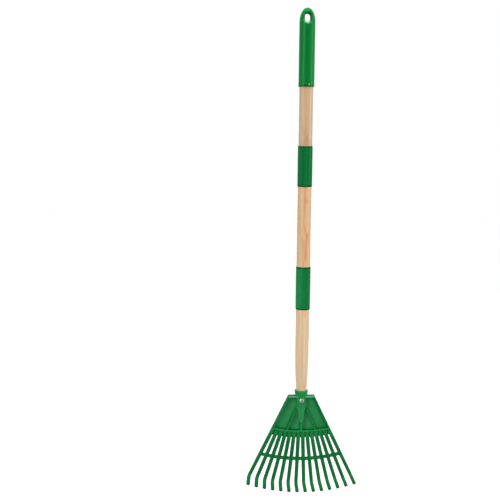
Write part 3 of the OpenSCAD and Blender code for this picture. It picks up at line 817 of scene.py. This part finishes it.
def panelOutline(share):
    # the panel's edge drawn in: top edge, right side, lower arc and left side, with y left at zero
    half, tip, inset = fanAngle / 2, wedgeTip(share), share * headSize["topRim"]
    angle = np.linspace(half, -half, 3 * headGrid["edge"])
    reach = lowArc(angle, share)
    arc = np.stack([reach * np.sin(angle), tip - reach * np.cos(angle)], -1)
    topHalf = (tip + inset) * math.tan(half)
    top = np.array([[-topHalf, -inset], [topHalf, -inset]])
    t = np.linspace(0, 1, headGrid["edge"], endpoint=False)[:, None]
    loop = np.concatenate([top[0] + (top[1] - top[0]) * t, top[1] + (arc[0] - top[1]) * t,
                           arc[:-1], arc[-1] + (top[0] - arc[-1]) * t])
    return np.stack([loop[:, 0], 0 * loop[:, 0], panelTop + loop[:, 1]], -1)


def braceLine(hand):  # start and direction of the left brace, -1, or the right one, 1
    return (np.array([hand * ribSize["braceAside"], -ribSize["braceDrop"]]),
            np.array([hand * math.sin(braceAngle), -math.cos(braceAngle)]))


def toLine(x, z, start, run):  # distance to a line that begins at start, and which points lie left of it
    along = (x - start[0]) * run[0] + (z - start[1]) * run[1]
    aside = (x - start[0]) * run[1] - (z - start[1]) * run[0]
    return np.where(along > 0, np.abs(aside), np.hypot(x - start[0], z - start[1])), aside > 0


def floorLightAndShade(x, z):
    # painted shade at the foot of the rims, darkest by the right rim, and along the left of every rib; the
    # rest painted a little paler, paler still between the braces
    half = fanAngle / 2

    def near(distance, reach):
        return np.exp(-np.clip(distance, 0, None) / shadeReach[reach])

    fromSides = (wedgeTip(1) - z) * math.sin(half) - np.abs(x) * math.cos(half)
    arcRadius = headSize["arcUp"] + headSize["panelDrop"] - headSize["lowRim"]
    fromArc = arcRadius - np.hypot(x, headSize["arcUp"] - z)
    sideShade = np.where(x < 0, paintedShare["leftRim"], paintedShare["rightRim"])
    dark = np.minimum(paintedShare["rimFoot"] * near(np.minimum(-headSize["topRim"] - z, fromArc), "rim"),
                      sideShade * near(fromSides, "side"))
    spineLine = (0, -tipMiddle), (0, -1)
    for (start, run), wide in ((braceLine(-1), ribSize["braceWide"]), (braceLine(1), ribSize["braceWide"]),
                               (spineLine, ribSize["spineWide"])):
        aside, leftOf = toLine(x, z, start, run)
        dark = np.minimum(dark, np.where(leftOf, paintedShare["rib"] * near(aside - wide / 2, "rib"), 0))
    between = np.abs(x) < ribSize["braceAside"] - (z + ribSize["braceDrop"]) * math.tan(braceAngle)
    pale = np.where(between, paintedShare["between"], paintedShare["floor"])
    return dark + pale * (1 + dark)


def panelFloor():
    # rays from the wedge's point, cut by the top edge and the lower arc half way under their rims; the front
    # is one grid and the back another
    tip = wedgeTip(1 / 2)
    angle = np.linspace(-fanAngle / 2, fanAngle / 2, headGrid["floorAcross"])
    first = (tip + headSize["topRim"] / 2) / np.cos(angle)
    down = np.linspace(0, 1, headGrid["floorDown"])[:, None]
    reach = first + (lowArc(angle, 1 / 2) - first) * down
    x, z = reach * np.sin(angle), tip - reach * np.cos(angle)
    dark = floorLightAndShade(x, z)
    front = np.stack([x, np.full(x.shape, panelFront), panelTop + z], -1)
    back = np.stack([x, np.full(x.shape, panelBack - headSize["apart"]), panelTop + z], -1)[:, ::-1]
    rings = np.pad(np.concatenate([front, back], 1), ((1, 1), (0, 0), (0, 0)), "edge")
    rings[[0, -1], :, 1] = 0  # one more row at each end closes the plate
    paintedLight = np.pad(np.concatenate([dark, 0 * dark], 1), ((1, 1), (0, 0)), "edge")
    return rings.reshape(-1, 3), gridFaces(len(rings), rings.shape[1], False, True), paintedLight.ravel()


def panelRim():
    # a rounded bar round the panel's edge, from its back to the rim's face; the bar's width is shared out
    # from the outer edge to the inner one, with a painted highlight on the top face and painted shade on the
    # side faces and down both walls
    outer, inner = panelOutline(0), panelOutline(1)
    wide, deep, corner = headSize["lowRim"], panelBack - rimFront, headSize["rimRound"]
    outline = roundedBox(wide, deep, corner)
    face = outline[0, :, 1] < corner / 2 - deep / 2
    wall = (np.abs(outline[0, :, 0]) > wide / 2 - corner / 2) & ~face
    outline[..., 0] /= wide
    path = (outer + inner) / 2 + np.array([0, (panelBack + rimFront) / 2, 0])
    level = np.abs(np.gradient(path[:, 2])) < rimSlope * np.abs(np.gradient(path[:, 0]))
    onTop = path[:, 2] > panelTop - headSize["topRim"]
    levelFace = np.where(onTop, paintedShare["topFace"], paintedShare["rimFace"])
    faceLight = np.where(level, levelFace, paintedShare["sideFace"])
    paintedLight = faceLight[:, None] * face + paintedShare["rimWall"] * wall
    return sweep(path, inner - outer, (0, 1, 0), outline, loop=True) + (paintedLight.ravel(),)


def straightRib(start, end, wide, front, corner):
    # a rounded bar along a straight line on the panel, sunk to the panel's middle
    start, end = np.array(start, float), np.array(end, float)
    run = (end - start) / np.linalg.norm(end - start)
    flat = start + (end - start) * np.linspace(0, 1, headGrid["rib"])[:, None]
    path = np.stack([flat[:, 0], np.full(len(flat), front / 2), panelTop + flat[:, 1]], -1)
    return sweep(path, (-run[1], 0, run[0]), (0, -1, 0), roundedBox(wide, -front, corner))


def spineRib():  # from the nose's tip down to the lower rim
    return straightRib((0, -tipMiddle), (0, -rootDrop), ribSize["spineWide"], rimFront + headSize["apart"],
                       ribSize["spineRound"])


def braceRib(hand):
    # from beside the nose out to where its line meets the middle of the lower rim's arc
    start, run = braceLine(hand)
    fromArc = start - np.array([0, headSize["arcUp"]])
    foot = headSize["arcUp"] + rootDrop
    along = -fromArc @ run + math.sqrt((fromArc @ run) ** 2 - fromArc @ fromArc + foot ** 2)
    return straightRib(start, start + run * along, ribSize["braceWide"], panelFront - ribSize["braceHigh"],
                       ribSize["ribRound"])


def nose():
    # the round of the socket turns by even steps into a rounded box, which ends in a half circle
    half = socketSize["noseTip"] / 2
    end = half * np.sin(np.linspace(0, np.pi / 2, headGrid["noseTip"])[1:])
    drop = np.concatenate([np.linspace(socketSize["straight"], tipMiddle, headGrid["nose"]), tipMiddle + end])
    share = np.clip((drop - socketSize["straight"]) / (tipMiddle - socketSize["straight"]), 0, 1)
    beyond = np.clip(drop - tipMiddle, 0, half * noseShare)
    wide = socketSize["noseWide"] * (1 - share) + 2 * np.sqrt(half ** 2 - beyond ** 2) * share
    deep = socketSize["noseWide"] * (1 - share) - rimFront * share
    corner = socketSize["noseWide"] / 2 * (1 - share) + ribSize["spineRound"] * share
    path = np.stack([0 * drop, rimFront / 2 * share, panelTop - drop], -1)
    outline = roundedBox(wide, deep, np.minimum(corner, wide / 2), headGrid["noseRound"])
    return sweep(path, (1, 0, 0), (0, -1, 0), outline)


def socket():
    # straight part, flared collar with its lip, and the tapered bore for the dowel
    lip, top = socketSize["collarWide"] / 2, socketSize["collarHigh"]
    mouth = taperSize["neck"] / 2 + socketSize["fit"]
    boreEnd, bottom = taperSize["tenonTip"] / 2 + socketSize["fit"], top - taperSize["tenon"]
    collar = softened([(socketSize["noseWide"] / 2, -socketSize["straight"]),
                       (socketSize["wide"] / 2, -socketSize["lipHigh"]), (lip, top - socketSize["lipHigh"]),
                       (lip, top), (mouth, top), (boreEnd, bottom), (0, bottom)],
                      [socketSize[name] for name in ("neckRound", "lipRound", "lipRound", "mouthRound",
                                                     "boreRound")])
    profile = resampled(np.concatenate([[(0, -socketSize["straight"])], collar]), socketSize["step"])
    profile[:, 1] += panelTop
    return lathe(profile, headGrid["socket"])


def screwPad():
    # a low boss with a rounded edge, from inside the socket out to the screw's seat
    face, half = socketSize["wide"] / 2 + socketSize["padHigh"], socketSize["padWide"] / 2
    profile = softened([(0, face / 2), (half, face / 2), (half, face), (0, face)],
                       [socketSize["padFoot"], socketSize["padRound"]])
    points, faces = lathe(profile, headGrid["pad"])
    return facingFront(points, (0, 0, screwUp)), faces


tineAngles = (np.arange(tineCount) - (tineCount - 1) / 2) * pitch
headShells = [tine(angle) for angle in tineAngles]
for gap in tineAngles[:-1] + pitch / 2:
    # painted shade on the cross band and on the web between the tines
    headShells += [gapStrip(gap, headSize["bandTop"], bandEnd, 1, 1) + (paintedShare["band"],),
                   gapStrip(gap, rootDrop, headSize["slotTop"], 0, 1) + (paintedShare["web"],)]
# painted light on the socket and nose, painted shade on the spine and the braces
headShells += [panelFloor(), panelRim(), socket() + (paintedShare["socket"],), nose() + (paintedShare["nose"],),
               screwPad(), spineRib() + (paintedShare["spine"],)]
headShells += [braceRib(hand) + (paintedShare["brace"],) for hand in (-1, 1)]
makePiece("rakeHead", headShells, headPlastic, "lower_section", "rake_head")


# Camera, light and floor

viewer = {"place": (-0.1678, -1.5962, -0.170), "yaw": 2.91, "pitch": 7.044, "roll": -0.589,
          "pixelsLong": 1000, "imageWide": 500, "sensor": 36.0}


def setCamera():
    # forward from yaw and pitch, then the picture turned by roll; a pinhole with no shift
    yaw, pitchDown, roll = (math.radians(viewer[name]) for name in ("yaw", "pitch", "roll"))
    flatLong = math.cos(pitchDown)
    forward = Vector((math.sin(yaw) * flatLong, math.cos(yaw) * flatLong, -math.sin(pitchDown)))
    level = Vector((math.cos(yaw), -math.sin(yaw), 0))
    down = forward.cross(level)
    right = level * math.cos(roll) + down * math.sin(roll)
    below = down * math.cos(roll) - level * math.sin(roll)
    data = bpy.data.cameras.new("viewCamera")
    data.sensor_width = viewer["sensor"]
    data.lens = viewer["sensor"] * viewer["pixelsLong"] / viewer["imageWide"]
    camera = bpy.data.objects.new("viewCamera", data)
    turned = Matrix((right, -below, -forward)).transposed().to_4x4()
    camera.matrix_world = Matrix.Translation(viewer["place"]) @ turned
    scene.collection.objects.link(camera)
    scene.camera = camera


white = (1, 1, 1, 1)
roomGlow = 0.30
middle = (0, 0, (cadBox[0].z + cadBox[1].z) / 2)
headAim = (0, 0, headHigh.z - 0.05)  # on the socket
lamps = {  # places and sizes in metres
    "leftBox": dict(place=(-1.38, -1.07, 0.2), aim=middle, wide=0.4, high=1.6, watts=19),
    "rightBox": dict(place=(1.65, -0.45, 0.2), aim=middle, wide=0.4, high=1.6, watts=24),
    "frontFill": dict(place=(0.2, -2.4, 1.0), aim=middle, wide=1.4, high=1.4, watts=6),
    "topBox": dict(place=(0.0, -0.25, 1.1), aim=(0, 0, 0), wide=0.6, high=0.6, watts=13),
    "backFill": dict(place=(0.3, 2.0, 0.5), aim=middle, wide=1.0, high=1.4, watts=9),
    "headFill": dict(place=(-0.05, -0.7, -0.73), aim=headAim, wide=0.5, high=0.15, watts=0.8),
}
floorLook = {"size": 12.0, "gap": 0.004, "glow": 0.9, "colour": (0.30, 0.30, 0.30, 1), "roughness": 0.9}


def seenDirectly(tree):  # 1 for camera, glossy and transmission rays
    rays = addNode(tree, "ShaderNodeLightPath").outputs
    shown = maths(tree, "MAXIMUM", rays["Is Camera Ray"], rays["Is Glossy Ray"])
    return maths(tree, "MAXIMUM", shown, rays["Is Transmission Ray"])


def setWorld():
    # a dim room that shows as white
    world = bpy.data.worlds.new("studioWorld")
    world.use_nodes = True
    tree = world.node_tree
    tree.nodes.clear()
    dim, bright = (addNode(tree, "ShaderNodeBackground", {"Color": white, "Strength": strength}).outputs[0]
                   for strength in (roomGlow, 1.0))
    mixed = addNode(tree, "ShaderNodeMixShader", {0: seenDirectly(tree), 1: dim, 2: bright})
    addNode(tree, "ShaderNodeOutputWorld", {"Surface": mixed.outputs[0]})
    scene.world = world


def softBox(name, place, aim, wide, high, watts):
    data = bpy.data.lights.new(name, "AREA")
    data.shape, data.size, data.size_y, data.energy = "RECTANGLE", wide, high, watts
    lamp = bpy.data.objects.new(name, data)
    lamp.location = place
    lamp.visible_camera = False
    lamp.rotation_euler = (Vector(aim) - Vector(place)).to_track_quat("-Z", "Y").to_euler()
    scene.collection.objects.link(lamp)


def setFloor():
    # a plain square below the hooks when the handle is pulled right out; its glow makes it white and its
    # colour keeps a soft shadow
    pulledOut = sum(joint["range_m"][1] for joint in frame["joints"])
    half, level = floorLook["size"] / 2, headLow.z - pulledOut - floorLook["gap"]
    mesh = bpy.data.meshes.new("paleFloor")
    mesh.from_pydata([(-half, -half, level), (half, -half, level), (half, half, level), (-half, half, level)],
                     [], [(0, 1, 2, 3)])
    material, tree, sockets = newMaterial("paleFloor", {
        "Base Color": floorLook["colour"], "Roughness": floorLook["roughness"], "Specular IOR Level": 0.0,
        "Emission Color": white})
    glow = maths(tree, "MULTIPLY", seenDirectly(tree), floorLook["glow"])
    tree.links.new(glow, sockets["Emission Strength"])
    mesh.materials.append(material)
    floor = bpy.data.objects.new("paleFloor", mesh)
    scene.collection.objects.link(floor)


setCamera()
setWorld()
for name, lamp in lamps.items():
    softBox(name, **lamp)
setFloor()
scene.view_settings.view_transform = "Standard"
print("camera, light and floor set")
